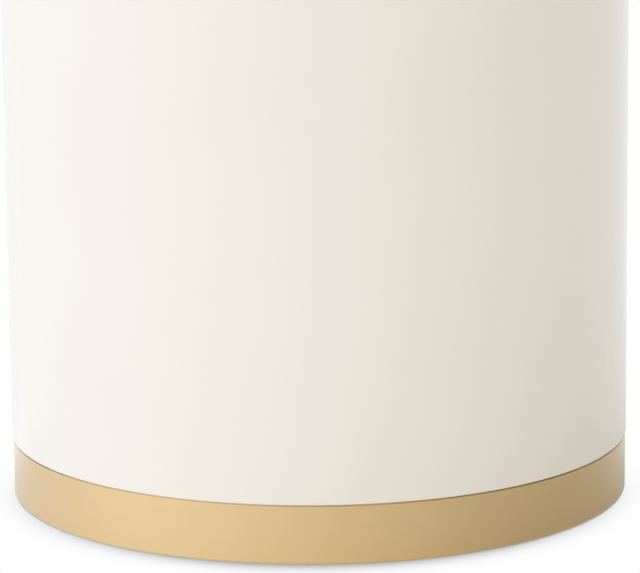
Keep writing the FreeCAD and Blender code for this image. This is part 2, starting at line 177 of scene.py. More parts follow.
def make_piece(name, node, grids):
    """One mesh from grids of points, which stands for a CAD node and moves with that node's body.

    Each cell of a grid is a face. Points that meet are merged, which closes the seams and the poles, the
    open ends of a strip are filled, all faces are turned outwards, and only true corners are left
    sharp."""
    sizes = [grid.shape[0] * grid.shape[1] for grid, _ in grids]
    starts = np.cumsum([0] + sizes[:-1])
    faces = []
    for start, (grid, _) in zip(starts, grids):
        index = start + np.arange(grid.shape[0] * grid.shape[1]).reshape(grid.shape[:2])
        cells = np.stack([index[:-1, :-1], index[:-1, 1:], index[1:, 1:], index[1:, :-1]], axis=2)
        faces.append(cells.reshape(-1, 4))
    faces = np.concatenate(faces)
    points = np.concatenate([grid.reshape(-1, 3) for grid, _ in grids])
    flat = np.concatenate([flat.reshape(-1, 2) for _, flat in grids])
    mesh = bpy.data.meshes.new(name)
    mesh.from_pydata(points.tolist(), [], faces.tolist())
    mesh.uv_layers.new(name="flat").data.foreach_set("uv", flat[faces.ravel()].ravel())
    shell = bmesh.new()
    shell.from_mesh(mesh)
    bmesh.ops.remove_doubles(shell, verts=shell.verts, dist=MERGE)
    bmesh.ops.holes_fill(shell, edges=[edge for edge in shell.edges if edge.is_boundary], sides=0)
    bmesh.ops.recalc_face_normals(shell, faces=shell.faces)
    open_edges = sum(not edge.is_manifold for edge in shell.edges)
    shell.to_mesh(mesh)
    shell.free()
    mesh.polygons.foreach_set("use_smooth", np.ones(len(mesh.polygons), bool))
    mesh.set_sharp_from_angle(angle=SHARP_ANGLE)
    piece = bpy.data.objects.new(name, mesh)
    bpy.context.scene.collection.objects.link(piece)
    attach(piece, body_of[node])
    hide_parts(node)
    made.append((piece, slot_of[node]))
    print(f"{name}: {len(mesh.polygons)} faces, {open_edges} open edges")


# %% [markdown]
# ## The lacquered drum
# The wall is a sheet bent into a tube and sprayed. Two of its edges matter: the eased lower edge, which
# catches a bright line just above the dark gap over the band, and the upper edge, which meets the top
# panel in a hairline groove. Both are arcs of less than a millimetre. The top is a disc whose upper edge
# is a softer arc of three millimetres.

# %% Wall and top
WALL_FOOT_ROUNDING = 0.8 * MM
JOINT_LINE_ROUNDING = 0.5 * MM
TOP_EDGE_ROUNDING = 3.0 * MM

wall_corners = [
    (wall_inner, wall_low, 0),
    (wall_outer, wall_low, WALL_FOOT_ROUNDING),
    (wall_outer, wall_high, JOINT_LINE_ROUNDING),
    (wall_inner, wall_high, 0),
]
top_corners = [
    (0, top_low, 0),
    (top_outer, top_low, JOINT_LINE_ROUNDING),
    (top_outer, top_high, TOP_EDGE_ROUNDING),
    (0, top_high, 0),
]
make_piece("drum_wall_lacquered", "drum_wall", [turned_outline(wall_corners, closed=True)])
make_piece("top_panel_lacquered", "top_panel", [turned_outline(top_corners, closed=False)])

# %% [markdown]
# ## The gold band
# The band is a strip of sheet rolled into a hoop. Its ends meet in a fine seam at the back, and its foot
# is turned in under the plinth as a lip with eight countersunk screw holes. A Boolean could drill them,
# but it leaves long thin faces. Here each hole has a small window in the lip, and a patch joins every
# point of the window's rim to the point of the hole that lies in the same direction. Everything shares
# its rim points, so merging them gives one clean shell.

# %% Rolled strip and lip
BAND_SHEET = 1.2 * MM
BAND_BEND = 2.0 * MM
BAND_EDGE_ROUNDING = 0.4 * MM
BAND_SEAM = 0.3 * MM
LIP_ROWS = 7

lip_outer = band_outer - BAND_BEND - GUARD
lip_radii = np.linspace(lip_inner, lip_outer, LIP_ROWS)
band_turns = DRUM_TURNS.copy()
band_turns[[0, -1]] += np.array([0.5, -0.5]) * BAND_SEAM / band_outer
strip_corners = [
    (lip_outer, band_low, 0),
    (band_outer, band_low, BAND_BEND),
    (band_outer, band_high, BAND_EDGE_ROUNDING),
    (band_outer - BAND_SHEET, band_high, 0),
    (band_outer - BAND_SHEET, band_low + BAND_SHEET, BAND_BEND - BAND_SHEET),
    (lip_outer, band_low + BAND_SHEET, 0),
]
lip_edge = np.array([[band_low], [band_low + BAND_SHEET]])
band_grids = [
    turned_outline(strip_corners, closed=False, turns=band_turns),
    turned(np.full((2, 1), lip_inner), lip_edge, turns=band_turns),
]
print(f"lip {(band_outer - lip_inner) / MM:.1f} mm wide")

# %% Screw holes in the lip
LIP_HOLE = 3.45 * MM
LIP_HOLE_STRAIGHT = 0.2 * MM
WINDOW_STEPS = 3
LIP_SCREWS = 8
PATCH_ROWS = 3
PATCH_BLEND = np.linspace(0, 1, PATCH_ROWS)[:, None, None]  # 0 at the hole, 1 at the window's rim

_, _, lip_screw_near, lip_screw_far = turned_sizes("band_lip_screws")
lip_screw_circle = (lip_screw_near + lip_screw_far) / 2
hole_rows = [
    (band_low, LIP_HOLE),
    (band_low + LIP_HOLE_STRAIGHT, LIP_HOLE),
    (band_low + BAND_SHEET, LIP_HOLE - (BAND_SHEET - LIP_HOLE_STRAIGHT)),
]


def window_rim(turns):
    """Points (x, y) round a window of the lip: along its inner arc, across, back along its outer arc and
    across."""
    side = lip_radii[1:-1]
    t = np.concatenate([turns, 0 * side + turns[-1], turns[::-1], 0 * side + turns[0], turns[:1]])
    r = np.concatenate([0 * turns + lip_inner, side, 0 * turns + lip_outer, side[::-1], lip_radii[:1]])
    return r[:, None] * np.stack([np.cos(t), np.sin(t)], axis=1)


def with_height(points, height):
    """Grid of (x, y) points lifted to a height, with those points as its flat map."""
    return np.concatenate([points, np.full((*points.shape[:2], 1), height)], axis=2), points


def punched_window(turns, angle):
    """Two flat patches from a screw hole to its window's rim, and the countersunk wall between them.

    A rim point at direction d from the hole's centre c belongs to the hole's point c + d * hole radius /
    |d|."""
    rim = window_rim(turns)
    centre = lip_screw_circle * np.array([math.cos(angle), math.sin(angle)])
    direction = (rim - centre) / np.linalg.norm(rim - centre, axis=1, keepdims=True)
    for height, hole in (hole_rows[0], hole_rows[-1]):
        edge = centre + direction * hole
        yield with_height(edge * (1 - PATCH_BLEND) + rim * PATCH_BLEND, height)
    rings = [with_height((centre + direction * hole)[None], height) for height, hole in hole_rows]
    yield tuple(np.concatenate(part) for part in zip(*rings))


hole_steps = (np.arange(LIP_SCREWS) * DRUM_STEPS + DRUM_STEPS // 2) // LIP_SCREWS
run_starts = np.concatenate([[0], hole_steps + WINDOW_STEPS])
run_ends = np.concatenate([hole_steps - WINDOW_STEPS, [DRUM_STEPS]])
for start, end in zip(run_starts, run_ends):
    for height in lip_edge[:, 0]:
        run = band_turns[start : end + 1]
        band_grids.append(turned(lip_radii[:, None], np.full((LIP_ROWS, 1), height), turns=run))
for step in hole_steps:
    window = band_turns[step - WINDOW_STEPS : step + WINDOW_STEPS + 1]
    band_grids += punched_window(window, band_turns[step])
make_piece("base_band_gold", "base_band", band_grids)

# %% [markdown]
# ## Levelling feet
# Four feet hide in the plinth. Each is a moulded nylon pad, clipped on the collar of a threaded stud that
# is turned by its hexagon. A thread is a turned surface too: its radius depends on the height and on the
# turn, because the crest climbs one pitch in each turn. A hexagon is a radius that depends on the turn
# alone.

# %% Threads and hexagons
FINE_STEPS = 48
FINE_TURNS = np.linspace(0, 2 * np.pi, FINE_STEPS + 1)
THREAD_ROWS_PER_PITCH = 10
THREAD_FLAT = 0.125
THREAD_DEPTH = 0.61


def hexagon_radius(turns, across_flats):
    """Half the width across flats over the cosine of the angle from the middle of the nearest flat."""
    return across_flats / 2 / np.cos(turns % (np.pi / 3) - np.pi / 6)


def thread_rows(turns, start, end, major, pitch, depth, chamfer=0.0):
    """Heights and radii of a right-hand thread.

    The crest is where height / pitch less turns is half way between whole numbers, so it climbs one pitch
    a turn. The radius falls to the root along straight flanks between a flat crest and a flat root. It
    fades in over one pitch from where the thread starts, and a chamfer, if there is one, trims it at 45
    degrees at its end."""
    rows = int((end - start) / pitch * THREAD_ROWS_PER_PITCH) + 1
    height = np.linspace(start, end, rows)[:, None]
    from_crest = 2 * np.abs((height / pitch - turns / (2 * np.pi)) % 1 - 0.5)
    fall = np.clip((from_crest - THREAD_FLAT) / (1 - 2 * THREAD_FLAT), 0, 1)
    fade = np.clip((height - start) / pitch, 0, 1)
    radius = major - depth * fall * fade
    if chamfer:
        radius = np.minimum(radius, major + end - chamfer - height)
    return list(zip(height[:, 0], radius))


def stacked(rows, turns, **place):
    """Turned grid of (height, radius) rows, where a radius is one number or one for each turn."""
    radius = np.stack([np.broadcast_to(r, turns.shape) for _, r in rows])
    return turned(radius, np.array([[height] for height, _ in rows]), turns=turns, **place)


def axes_of(node, count, first):
    """Places of a node's upright axes, which stand evenly round the drum, and the way each one faces."""
    _, _, near, far = turned_sizes(node)
    angles = first + 2 * np.pi * np.arange(count) / count
    circle = (near + far) / 2
    return [{"axis": (circle * math.cos(a), circle * math.sin(a)), "facing": a} for a in angles]


# %% Feet and studs
FEET = 4
FIRST_FOOT = 0.0
FOOT_RIM_HEIGHT = 3.5 * MM
FOOT_NECK = 12.0 * MM
FOOT_ROUNDING = 1.2 * MM
FOOT_SOLE = 3.0 * MM
FOOT_GROOVE_DEPTH = 0.4 * MM
FOOT_GROOVES = ((5.5 * MM, 7.0 * MM), (10.0 * MM, 11.5 * MM))
SOCKET_NECK = 4.15 * MM
SOCKET_GROOVE = 5.65 * MM
SOCKET_HEIGHT = 2.5 * MM
STUD_RADIUS = 4.0 * MM
STUD_PITCH = 1.25 * MM
STUD_CHAMFER = 0.8 * MM
COLLAR_RADIUS = 5.5 * MM
COLLAR_HEIGHT = 2.2 * MM
HEX_FLATS = 13.0 * MM
HEX_HEIGHT = 2.6 * MM
HEX_EASE = 0.5 * MM
HEX_CLEARANCE = 0.05 * MM  # keeps the hexagon off the foot's top face

stud_thread = {
    "major": STUD_RADIUS,
    "pitch": STUD_PITCH,
    "depth": THREAD_DEPTH * STUD_PITCH,
    "chamfer": STUD_CHAMFER,
}
hexagon = hexagon_radius(FINE_TURNS, HEX_FLATS)
eased_hexagon = np.minimum(hexagon, HEX_FLATS / 2 + HEX_EASE / 2)
for number, place in enumerate(axes_of("leveller_foot_1", FEET, FIRST_FOOT), start=1):
    foot, stud = f"leveller_foot_{number}", f"leveller_stud_{number}"
    foot_low, foot_high, foot_near, foot_far = turned_sizes(foot)
    stud_low, stud_high, _, _ = turned_sizes(stud)
    foot_radius = (foot_far - foot_near) / 2
    socket = foot_low + FOOT_SOLE
    sole = [(0, foot_low, 0)]
    for inner, outer in FOOT_GROOVES:
        roof = foot_low + FOOT_GROOVE_DEPTH
        sole += [(inner, foot_low, 0), (inner, roof, 0), (outer, roof, 0), (outer, foot_low, 0)]
    foot_corners = sole + [
        (foot_radius, foot_low, FOOT_ROUNDING),
        (foot_radius, foot_low + FOOT_RIM_HEIGHT, FOOT_ROUNDING),
        (FOOT_NECK, foot_high, FOOT_ROUNDING),
        (SOCKET_NECK, foot_high, 0),
        (SOCKET_NECK, socket + SOCKET_HEIGHT, 0),
        (SOCKET_GROOVE, socket + SOCKET_HEIGHT, 0),
        (SOCKET_GROOVE, socket, 0),
        (0, socket, 0),
    ]
    foot_grid = turned_outline(foot_corners, closed=False, turns=FINE_TURNS, **place)
    make_piece(f"{foot}_moulded", foot, [foot_grid])
    hex_low, hex_top = foot_high + HEX_CLEARANCE, foot_high + HEX_HEIGHT
    stud_rows = [
        (stud_low, 0),
        (stud_low, COLLAR_RADIUS),
        (stud_low + COLLAR_HEIGHT, COLLAR_RADIUS),
        (stud_low + COLLAR_HEIGHT, STUD_RADIUS),
        (hex_low, STUD_RADIUS),
        (hex_low, eased_hexagon),
        (hex_low + HEX_EASE / 2, hexagon),
        (hex_top - HEX_EASE / 2, hexagon),
        (hex_top, eased_hexagon),
        *thread_rows(FINE_TURNS, hex_top, stud_high, **stud_thread),
        (stud_high, 0),
    ]
    make_piece(f"{stud}_threaded", stud, [stacked(stud_rows, FINE_TURNS, **place)])

# %% [markdown]
# ## Bolts and screws
# Four socket-head bolts hold the plinth to the drum, and twenty-six wood screws hold the rest. They show
# only when the table is turned over or opened, but a maker would look for them there. Each is one stack
# of rows: the bottom of the recess, its rim, the head, and the threaded shank. The cross recess is a
# radius by turn, like the hexagon, and its corners get turns of their own so that they stay crisp.

# %% Plinth bolts
BOLTS = 4
FIRST_BOLT = math.radians(45)
BOLT_RADIUS = 3.0 * MM
BOLT_PITCH = 1.0 * MM
BOLT_HEAD_HEIGHT = 6.0 * MM
BOLT_HEAD_EASE = 0.4 * MM
BOLT_SOCKET_FLATS = 5.0 * MM
BOLT_SOCKET_DEPTH = 3.0 * MM
BOLT_THREAD = 24.0 * MM
BOLT_CHAMFER = 0.6 * MM

bolt_low, bolt_high, bolt_near, bolt_far = turned_sizes("plinth_bolts")
bolt_head = (bolt_far - bolt_near) / 2
bolt_socket = hexagon_radius(FINE_TURNS, BOLT_SOCKET_FLATS)
bolt_thread = {
    "major": BOLT_RADIUS,
    "pitch": BOLT_PITCH,
    "depth": THREAD_DEPTH * BOLT_PITCH,
    "chamfer": BOLT_CHAMFER,
}
bolt_rows = [
    (bolt_low + BOLT_SOCKET_DEPTH, 0),
    (bolt_low + BOLT_SOCKET_DEPTH, bolt_socket),
    (bolt_low, bolt_socket),
    (bolt_low, bolt_head - BOLT_HEAD_EASE),
    (bolt_low + BOLT_HEAD_EASE, bolt_head),
    (bolt_low + BOLT_HEAD_HEIGHT, bolt_head),
    (bolt_low + BOLT_HEAD_HEIGHT, BOLT_RADIUS),
    *thread_rows(FINE_TURNS, bolt_high - BOLT_THREAD, bolt_high, **bolt_thread),
    (bolt_high, 0),
]
bolt_axes = axes_of("plinth_bolts", BOLTS, FIRST_BOLT)
bolt_grids = [stacked(bolt_rows, FINE_TURNS, **place) for place in bolt_axes]
make_piece("plinth_bolts_threaded", "plinth_bolts", bolt_grids)

# %% Wood screws
PANEL_SCREWS = 6
FIRST_PANEL_SCREW = math.radians(60)
POSTS = 6
FIRST_POST = math.radians(30)
FIRST_LIP_SCREW = math.pi / LIP_SCREWS
SCREW_STEPS = 24
SCREW_POINT_LENGTH = 4.0 * MM
SCREW_POINT_RADIUS = 0.3 * MM
SCREW_PITCH_SHARE = 0.45
SCREW_DEPTH_SHARE = 0.16
RECESS_TAPER = 0.75
NO_LESS = 1e-9  # keeps a division by a cosine or sine of zero finite


def cross_radius(turns, arm, slot):
    """Distance from the middle to the side of a cross: the further of the two bars' sides in that
    direction."""
    c, s = np.abs(np.cos(turns)), np.abs(np.sin(turns))
    c, s = np.maximum(c, NO_LESS), np.maximum(s, NO_LESS)
    along = np.minimum(arm / 2 / c, slot / 2 / s)
    across = np.minimum(arm / 2 / s, slot / 2 / c)
    return np.maximum(along, across)


def wood_screws(node, count, first, shank, arm, slot, recess, head_up=False):
    """A ring of countersunk wood screws with a cross recess and a coarse thread that tapers to the point.

    Heights count from the head's face, z = 0, to the point, and are then set upright or upside down in
    the node."""
    low, high, near, far = turned_sizes(node)
    head, length = (far - near) / 2, high - low
    quarter = np.arange(5) * np.pi / 2
    tip = math.atan2(slot, arm)
    corners = np.concatenate([quarter - tip, quarter + tip, quarter + np.pi / 4])
    even = np.linspace(0, 2 * np.pi, SCREW_STEPS + 1)
    turns = np.unique(np.concatenate([even, corners[(corners > 0) & (corners < 2 * np.pi)]]).round(9))
    cross = cross_radius(turns, arm, slot)
    neck = head - shank / 2
    pitch, depth = SCREW_PITCH_SHARE * shank, SCREW_DEPTH_SHARE * shank
    thread = thread_rows(turns, neck, length, shank / 2, pitch, depth)
    slope = (shank / 2 - SCREW_POINT_RADIUS) / SCREW_POINT_LENGTH
    tapered = [(z, np.minimum(r, SCREW_POINT_RADIUS + (length - z) * slope)) for z, r in thread]
    rows = [(recess, 0), (recess, cross * RECESS_TAPER), (0, cross), (0, head), *tapered, (length, 0)]
    rows = [(high - z if head_up else low + z, r) for z, r in rows]
    grids = [stacked(rows, turns, **place) for place in axes_of(node, count, first)]
    make_piece(f"{node}_threaded", node, grids)


panel_screw = {"shank": 4.0 * MM, "arm": 4.0 * MM, "slot": 0.9 * MM, "recess": 1.4 * MM}
post_screw = {"shank": 4.5 * MM, "arm": 4.4 * MM, "slot": 1.0 * MM, "recess": 1.6 * MM}
lip_screw = {"shank": 3.5 * MM, "arm": 3.4 * MM, "slot": 0.8 * MM, "recess": 1.1 * MM}
wood_screws("top_panel_screws", PANEL_SCREWS, FIRST_PANEL_SCREW, **panel_screw)
wood_screws("upright_top_screws", POSTS, FIRST_POST, head_up=True, **post_screw)
wood_screws("upright_bottom_screws", POSTS, FIRST_POST, **post_screw)
wood_screws("band_lip_screws", LIP_SCREWS, FIRST_LIP_SCREW, **lip_screw)

# %% [markdown]
# ## Materials
# Colours are written as the sRGB hex values that a paint chart would give, and one function turns them to
# the linear values that the renderer works in. One more function adds a node with its settings and links,
# which keeps each material short enough to read as a recipe.

# %% Colours and nodes
MIX_FIRST, MIX_SECOND, MIX_COLOUR = 6, 7, 2  # a Mix node's colour inputs and output, past those for numbers


def linear(code):
    """Linear colour of an sRGB hex code: c / 12.92 when dark, else ((c + 0.055) / 1.055) to the power
    2.4."""
    srgb = np.array([int(code[i : i + 2], 16) for i in (1, 3, 5)]) / 255
    return (*np.where(srgb <= 0.04045, srgb / 12.92, ((srgb + 0.055) / 1.055) ** 2.4).tolist(), 1.0)


def add_node(tree, kind, settings=(), sockets=()):
    """Adds a shader node, sets its own properties, then sets each input or links it to another's output."""
    node = tree.nodes.new("ShaderNode" + kind)
    for key, value in dict(settings).items():
        setattr(node, key, value)
    for key, value in dict(sockets).items():
        if isinstance(value, bpy.types.NodeSocket):
            tree.links.new(value, node.inputs[key])
        else:
            node.inputs[key].default_value = value
    return node


def new_material(name):
    """Material with an empty node tree, and that tree."""
    material = bpy.data.materials.new(name)
    material.use_nodes = True
    material.node_tree.nodes.clear()
    return material, material.node_tree


def finish_material(material, surface):
    """Links the surface to the material's output, and says how many nodes the recipe took."""
    tree = material.node_tree
    add_node(tree, "OutputMaterial", {}, {"Surface": surface})
    print(f"{material.name}: {len(tree.nodes)} nodes")


# %% [markdown]
# ### Sprayed lacquer
# The drum is sprayed with cream polyurethane lacquer under a clear coat, and left at a soft gloss. That
# gives the eye a smooth, even colour, a bright rim where the wall turns away, and, close up, the faint
# orange peel that a spray gun leaves. The colour and the gloss drift a little over a hand's breadth, as
# hand spraying does. Two shaders could be mixed for the two layers, but one Principled shader with its
# Coat inputs already stacks them in the right way. The face of the top is a working surface, so it is
# flatted: rubbed to a matt finish, with no clear coat. A glossy one would show every scratch, and seen
# low against the light it would wash out to white. One recipe makes both finishes.

# %% Cream lacquer
ORANGE_PEEL = 2.5 * MM
PEEL_HEIGHT = 0.01 * MM
SPRAY_DRIFT = 90 * MM


def cream_lacquer(name, smoothest, roughest, coat):
    """Cream over orange peel. Its tint and roughness drift, and a clear coat of some weight lies on top."""
    material, tree = new_material(name)
    place = add_node(tree, "TexCoord").outputs["Object"]
    peel = add_node(tree, "TexNoise", {}, {"Vector": place, "Scale": 1 / ORANGE_PEEL, "Detail": 2.0})
    drift = add_node(tree, "TexNoise", {}, {"Vector": place, "Scale": 1 / SPRAY_DRIFT, "Detail": 1.0})
    tint = add_node(
        tree,
        "Mix",
        {"data_type": "RGBA"},
        {"Factor": drift.outputs["Fac"], MIX_FIRST: linear("#F0EADE"), MIX_SECOND: linear("#EDE6DA")},
    )
    gloss = add_node(
        tree,
        "MapRange",
        {},
        {"Value": drift.outputs["Fac"], "To Min": smoothest, "To Max": roughest},
    )
    bump = add_node(
        tree, "Bump", {}, {"Strength": 0.25, "Distance": PEEL_HEIGHT, "Height": peel.outputs["Fac"]}
    )
    shader = add_node(
        tree,
        "BsdfPrincipled",
        {},
        {
            "Base Color": tint.outputs[MIX_COLOUR],
            "Roughness": gloss.outputs["Result"],
            "IOR": 1.5,
            "Normal": bump.outputs["Normal"],
            "Coat Weight": coat,
            "Coat Roughness": 0.13,
            "Coat IOR": 1.65,
            "Coat Normal": bump.outputs["Normal"],
        },
    )
    finish_material(material, shader.outputs["BSDF"])
    return material


wall_lacquer = cream_lacquer("sprayed_cream_lacquer", smoothest=0.285, roughest=0.345, coat=1.0)
top_lacquer = cream_lacquer("flatted_cream_lacquer", smoothest=0.55, roughest=0.60, coat=0.0)

# %% [markdown]
# ### Brushed gold
# The band is plated sheet, brushed along its length before it was rolled, and sealed with clear lacquer.
# The fine scratches run round the band, so they spread its reflections up and down into a soft sheen and
# leave them narrow sideways. Blender calls that anisotropy: it stretches reflections along a tangent,
# here turned a quarter turn from the way round the axis. The lacquer whitens the two rims, where the eye
# meets it at a slant. Hairlines also show faintly in the colour, the roughness and the bump. Real ones
# are about a tenth of a millimetre wide, and are drawn five times wider so that they show at all.

# %% Satin gold
HAIRLINE_LENGTH = 40 * MM
HAIRLINE_WIDTH = 0.5 * MM  # five times coarser than real, to show in the render
HAIRLINE_HEIGHT = 0.01 * MM

gold, tree = new_material("brushed_satin_gold")
flat_map = add_node(tree, "UVMap", {"uv_map": "flat"}).outputs["UV"]
stretched = add_node(
    tree, "Mapping", {}, {"Vector": flat_map, "Scale": (1 / HAIRLINE_LENGTH, 1 / HAIRLINE_WIDTH, 1.0)}
)
hairline = add_node(
    tree, "TexNoise", {}, {"Vector": stretched.outputs["Vector"], "Scale": 1.0, "Detail": 3.0}
)
tint = add_node(
    tree,
    "Mix",
    {"data_type": "RGBA"},
    {"Factor": hairline.outputs["Fac"], MIX_FIRST: linear("#F6D79C"), MIX_SECOND: linear("#EECE94")},
)
gloss = add_node(
    tree, "MapRange", {}, {"Value": hairline.outputs["Fac"], "To Min": 0.42, "To Max": 0.48}
)
bump = add_node(
    tree, "Bump", {}, {"Strength": 0.2, "Distance": HAIRLINE_HEIGHT, "Height": hairline.outputs["Fac"]}
)
round_axis = add_node(tree, "Tangent", {"direction_type": "RADIAL", "axis": "Z"})
shader = add_node(
    tree,
    "BsdfPrincipled",
    {},
    {
        "Base Color": tint.outputs[MIX_COLOUR],
        "Metallic": 1.0,
        "Roughness": gloss.outputs["Result"],
        "Anisotropic": 1.0,
        "Anisotropic Rotation": 0.25,
        "Tangent": round_axis.outputs["Tangent"],
        "Normal": bump.outputs["Normal"],
        "Coat Weight": 1.0,
        "Coat Roughness": 0.12,
        "Coat IOR": 1.7,
    },
)
finish_material(gold, shader.outputs["BSDF"])

# %% [markdown]
# ### Plywood and pine
# The rings and the floor are birch plywood. On a flat face the eye sees one pale veneer with fine grain,
# and on a cut edge the stack of veneers, light and dark in turn. The shader asks which way the face
# points and picks one or the other. The plinth's own edge shows in the gap above the band. It has a coat
# of metallic paint and a small round-over, and the shader finds it by its distance from the drum's axis.
# The gap hides the shape of the round-over, so the shader only leans the normal upwards. The edge then
# mirrors the light instead of the floor, and the gap reads as a line that is pale on the left and dark on
# the right. The posts are planed pine, with growth rings about four millimetres apart round a heart that
# lies outside the post.

# %% Birch plywood
VENEER = 1.4 * MM
GRAIN_LENGTH = 45 * MM
GRAIN_WIDTH = 1.2 * MM
GRAIN_HEIGHT = 0.03 * MM
PAINT_REACH = 0.2 * MM
PAINT_LEAN = (0.0, 0.0, 0.25)  # added to the painted edge's normal
BARE_ROUGHNESS, PAINT_ROUGHNESS = 0.6, 0.12
FLAT_FACE = 0.7  # a face is flat where its normal's z is more than this

_, _, _, plinth_outer = turned_sizes("plinth_ring_upper")
birch, tree = new_material("birch_plywood")
place = add_node(tree, "TexCoord").outputs["Object"]
long_grain = add_node(
    tree,
    "Mapping",
    {},
    {"Vector": place, "Scale": (1 / GRAIN_LENGTH, 1 / GRAIN_WIDTH, 1 / GRAIN_WIDTH)},
)
grain = add_node(
    tree, "TexNoise", {}, {"Vector": long_grain.outputs["Vector"], "Scale": 1.0, "Detail": 4.0}
)
face = add_node(
    tree,
    "Mix",
    {"data_type": "RGBA"},
    {"Factor": grain.outputs["Fac"], MIX_FIRST: linear("#E8D6B4"), MIX_SECOND: linear("#D5BC91")},
)
xyz = add_node(tree, "SeparateXYZ", {}, {"Vector": place})
layer = add_node(tree, "Math", {"operation": "PINGPONG"}, {0: xyz.outputs["Z"], 1: VENEER})
layer = add_node(tree, "Math", {"operation": "GREATER_THAN"}, {0: layer.outputs[0], 1: VENEER / 2})
edge = add_node(
    tree,
    "Mix",
    {"data_type": "RGBA"},
    {"Factor": layer.outputs[0], MIX_FIRST: linear("#DDC59A"), MIX_SECOND: linear("#BE9A68")},
)
normal = add_node(tree, "NewGeometry").outputs["Normal"]
pointing = add_node(tree, "SeparateXYZ", {}, {"Vector": normal})
upright = add_node(tree, "Math", {"operation": "ABSOLUTE"}, {0: pointing.outputs["Z"]})
flat_face = add_node(tree, "Math", {"operation": "GREATER_THAN"}, {0: upright.outputs[0], 1: FLAT_FACE})
tint = add_node(
    tree,
    "Mix",
    {"data_type": "RGBA"},
    {
        "Factor": flat_face.outputs[0],
        MIX_FIRST: edge.outputs[MIX_COLOUR],
        MIX_SECOND: face.outputs[MIX_COLOUR],
    },
)
across = add_node(tree, "CombineXYZ", {}, {"X": xyz.outputs["X"], "Y": xyz.outputs["Y"]})
reach = add_node(tree, "VectorMath", {"operation": "LENGTH"}, {0: across.outputs["Vector"]})
painted = add_node(
    tree,
    "Math",
    {"operation": "GREATER_THAN"},
    {0: reach.outputs["Value"], 1: plinth_outer - PAINT_REACH},
)
tint = add_node(
    tree,
    "Mix",
    {"data_type": "RGBA"},
    {"Factor": painted.outputs[0], MIX_FIRST: tint.outputs[MIX_COLOUR], MIX_SECOND: linear("#A89678")},
)
gloss = add_node(
    tree,
    "MapRange",
    {},
    {"Value": painted.outputs[0], "To Min": BARE_ROUGHNESS, "To Max": PAINT_ROUGHNESS},
)
lean = add_node(
    tree, "VectorMath", {"operation": "MULTIPLY_ADD"}, {0: painted.outputs[0], 1: PAINT_LEAN, 2: normal}
)
lean = add_node(tree, "VectorMath", {"operation": "NORMALIZE"}, {0: lean.outputs["Vector"]})
bump = add_node(
    tree,
    "Bump",
    {},
    {
        "Strength": 0.4,
        "Distance": GRAIN_HEIGHT,
        "Height": grain.outputs["Fac"],
        "Normal": lean.outputs["Vector"],
    },
)
shader = add_node(
    tree,
    "BsdfPrincipled",
    {},
    {
        "Base Color": tint.outputs[MIX_COLOUR],
        "Metallic": painted.outputs[0],
        "Roughness": gloss.outputs["Result"],
        "IOR": 1.5,
        "Normal": bump.outputs["Normal"],
    },
)
finish_material(birch, shader.outputs["BSDF"])

# %% Planed pine
RING_SPACING = 4 * MM
WAVE_PERIOD = 2 * math.pi / 20  # a Wave texture's rings are this far apart at scale 1
GRAIN_STRETCH = 0.05

pine, tree = new_material("planed_pine")
place = add_node(tree, "TexCoord").outputs["Object"]
long_grain = add_node(tree, "Mapping", {}, {"Vector": place, "Scale": (1.0, 1.0, GRAIN_STRETCH)})
rings = add_node(
    tree,
    "TexWave",
    {"wave_type": "RINGS", "rings_direction": "Z", "wave_profile": "SAW"},
    {
        "Vector": long_grain.outputs["Vector"],
        "Scale": WAVE_PERIOD / RING_SPACING,
        "Distortion": 4.0,
        "Detail": 3.0,
        "Detail Scale": 0.6,
    },
)
tint = add_node(
    tree,
    "Mix",
    {"data_type": "RGBA"},
    {"Factor": rings.outputs["Fac"], MIX_FIRST: linear("#ECD8AE"), MIX_SECOND: linear("#CDA469")},
)
bump = add_node(
    tree, "Bump", {}, {"Strength": 0.3, "Distance": GRAIN_HEIGHT, "Height": rings.outputs["Fac"]}
)
shader = add_node(
    tree,
    "BsdfPrincipled",
    {},
    {
        "Base Color": tint.outputs[MIX_COLOUR],
        "Roughness": 0.58,
        "IOR": 1.5,
        "Normal": bump.outputs["Normal"],
    },
)
finish_material(pine, shader.outputs["BSDF"])

# %% [markdown]
# ### Zinc and nylon
# The fasteners are zinc-plated steel: a cool grey metal with patches a few millimetres wide where the
# passivation turns slightly blue or straw. The feet are black moulded nylon, which is never quite black
# and carries the spark-eroded texture of its mould.

# %% Zinc-plated steel
ZINC_PATCH = 3 * MM

zinc, tree = new_material("zinc_plated_steel")
place = add_node(tree, "TexCoord").outputs["Object"]
patches = add_node(tree, "TexNoise", {}, {"Vector": place, "Scale": 1 / ZINC_PATCH, "Detail": 3.0})
tint = add_node(
    tree,
    "Mix",
    {"data_type": "RGBA"},
    {"Factor": patches.outputs["Fac"], MIX_FIRST: linear("#BFC6CE"), MIX_SECOND: linear("#D3CFC2")},
)
gloss = add_node(
    tree, "MapRange", {}, {"Value": patches.outputs["Fac"], "To Min": 0.28, "To Max": 0.42}
)
shader = add_node(
    tree,
    "BsdfPrincipled",
    {},
    {"Base Color": tint.outputs[MIX_COLOUR], "Metallic": 1.0, "Roughness": gloss.outputs["Result"]},
)
finish_material(zinc, shader.outputs["BSDF"])

# %% Black nylon
MOULD_TEXTURE = 0.6 * MM
MOULD_HEIGHT = 0.04 * MM

